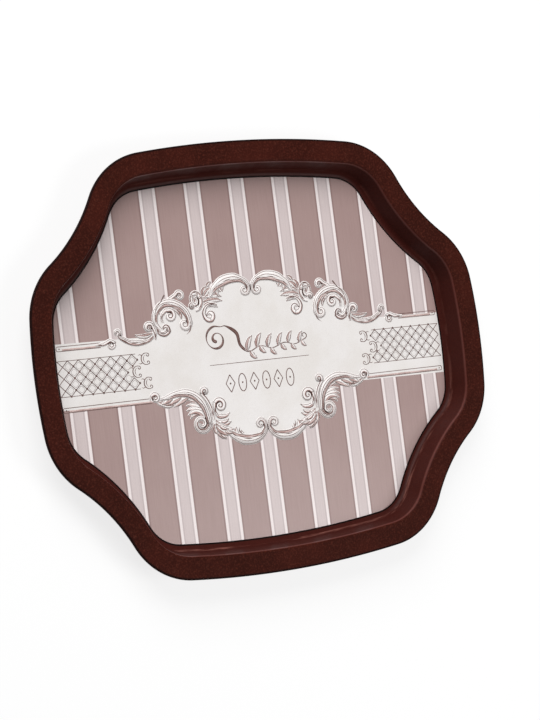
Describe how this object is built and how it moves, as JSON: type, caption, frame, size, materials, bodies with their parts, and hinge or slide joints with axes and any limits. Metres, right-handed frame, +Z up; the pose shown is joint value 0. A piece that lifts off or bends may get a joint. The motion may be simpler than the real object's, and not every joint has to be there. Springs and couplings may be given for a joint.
{
  "type": "serving tray",
  "caption": "Shallow serving tray with a wavy octagonal outline, a wide flat lip, a steep wall, a striped printed sheet in its floor and non-slip pads underneath.",
  "frame": {"origin": "under the middle of the tray, on the surface that its pads stand on", "axes": "+Z up out of the face of the tray as it lies in use, +X along its longer side and along the printed ribbon, +Y towards the top of the print"},
  "size_m": [0.33, 0.275, 0.02],
  "materials": {
    "tray_plastic": "dark red-brown moulded plastic, finely grained and matt on the lip, satin on the wall",
    "printed_sheet": "printed paper under a clear satin film, mauve and pale grey-pink stripes with an off-white ribbon and label",
    "pad_rubber": "black non-slip rubber, matt"
  },
  "bodies": {
    "root": {"tray_body": "tray_plastic", "decor_sheet": "printed_sheet", "foot_pad_front_left": "pad_rubber", "foot_pad_front_right": "pad_rubber", "foot_pad_rear_left": "pad_rubber", "foot_pad_rear_right": "pad_rubber"}
  },
  "joints": []
}
